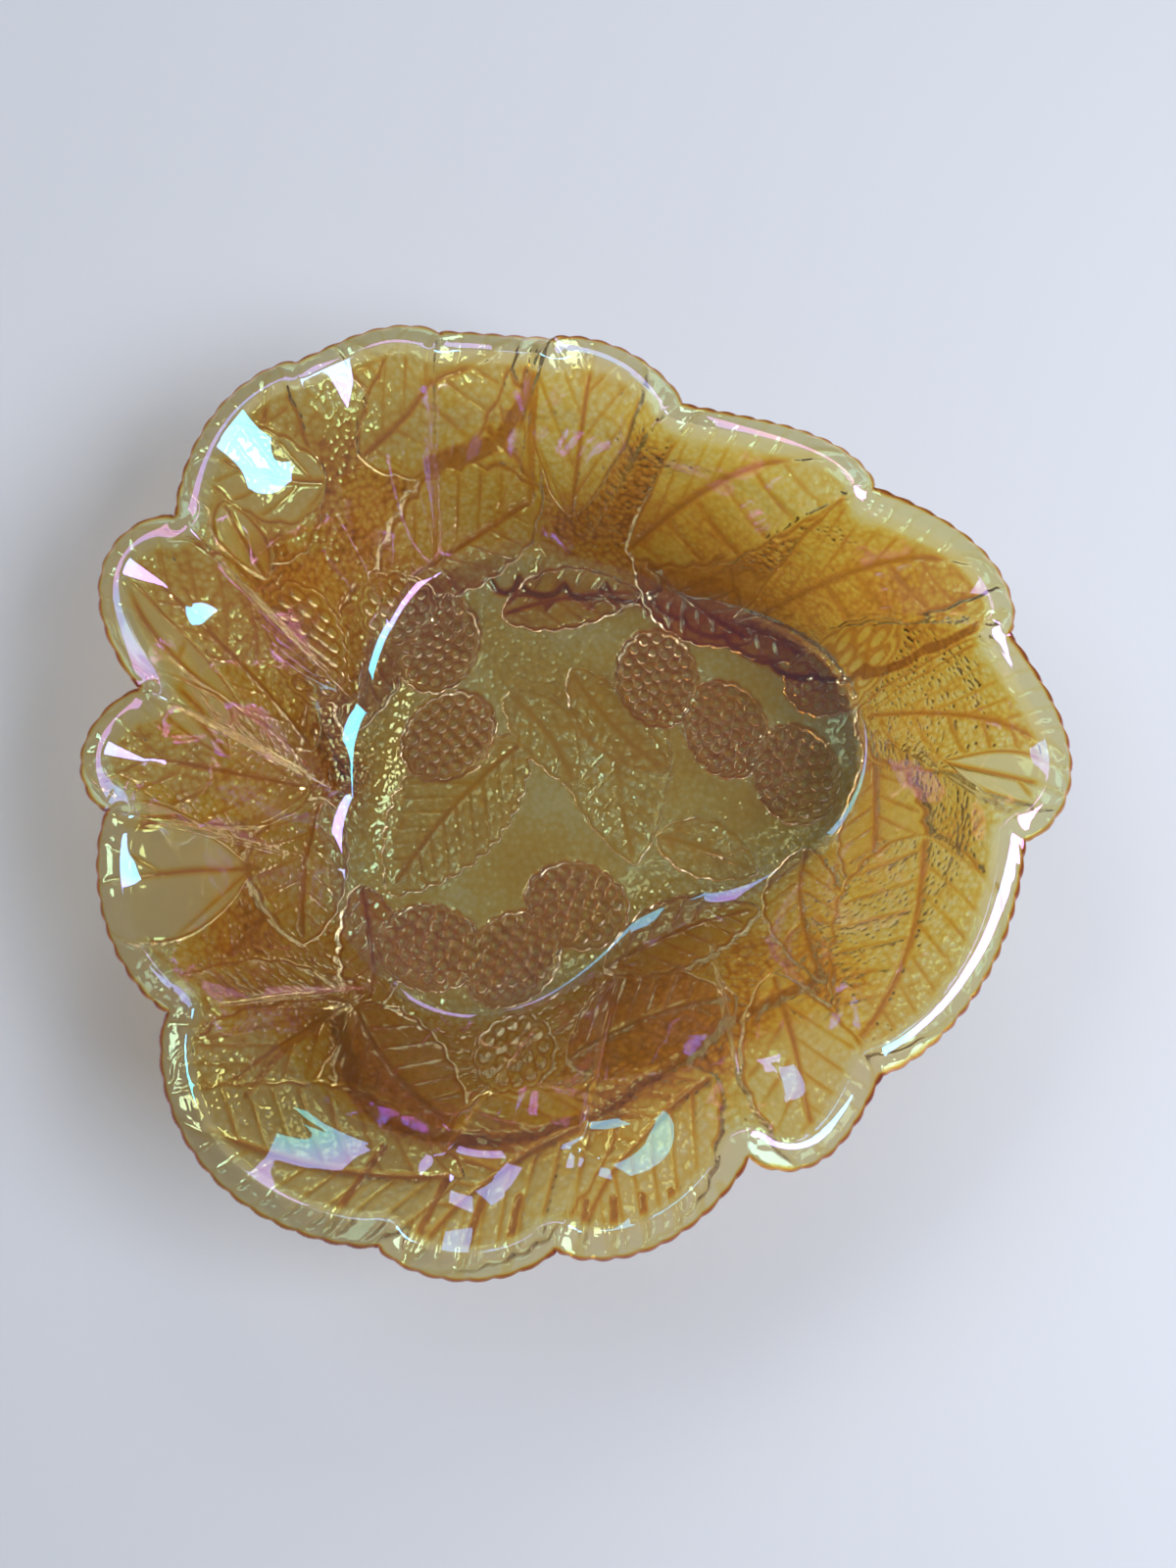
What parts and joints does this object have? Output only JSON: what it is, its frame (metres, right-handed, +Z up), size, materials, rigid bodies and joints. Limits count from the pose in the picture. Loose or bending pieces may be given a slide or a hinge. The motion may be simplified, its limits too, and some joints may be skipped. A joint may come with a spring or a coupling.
{
  "type": "carnival glass bowl",
  "caption": "Pressed iridescent amber glass fruit bowl: a rounded-triangular well under a swirling rim of overlapping leaves, with berries moulded on its underside",
  "frame": {"origin": "on the table plane, below the centre of the bowl's outer box", "axes": "+Z up, out of the bowl's mouth; +X to the right and +Y to the back as the bowl is looked down into, with a corner of the well towards +X"},
  "size_m": [0.2386, 0.2324, 0.0621],
  "materials": {
    "floor_glass": "pressed, iridised",
    "wall_glass": "pressed, iridised",
    "leaf_glass": "pressed, iridised",
    "berry_glass": "pressed, iridised"
  },
  "bodies": {
    "root": {"well_floor": "floor_glass", "resting_land": "floor_glass", "wall_right": "wall_glass", "wall_back": "wall_glass", "wall_front": "wall_glass", "leaf_01": "leaf_glass", "leaf_02": "leaf_glass", "leaf_03": "leaf_glass", "leaf_04": "leaf_glass", "leaf_05": "leaf_glass", "leaf_06": "leaf_glass", "leaf_07": "leaf_glass", "leaf_08": "leaf_glass", "leaf_09": "leaf_glass", "leaf_10": "leaf_glass", "leaf_11": "leaf_glass", "leaf_12": "leaf_glass", "leaf_13": "leaf_glass", "leaf_14": "leaf_glass", "leaf_15": "leaf_glass", "berry_right_1": "berry_glass", "berry_right_2": "berry_glass", "berry_right_3": "berry_glass", "berry_front_1": "berry_glass", "berry_front_2": "berry_glass", "berry_front_3": "berry_glass", "berry_left_1": "berry_glass", "berry_left_2": "berry_glass"}
  },
  "joints": []
}
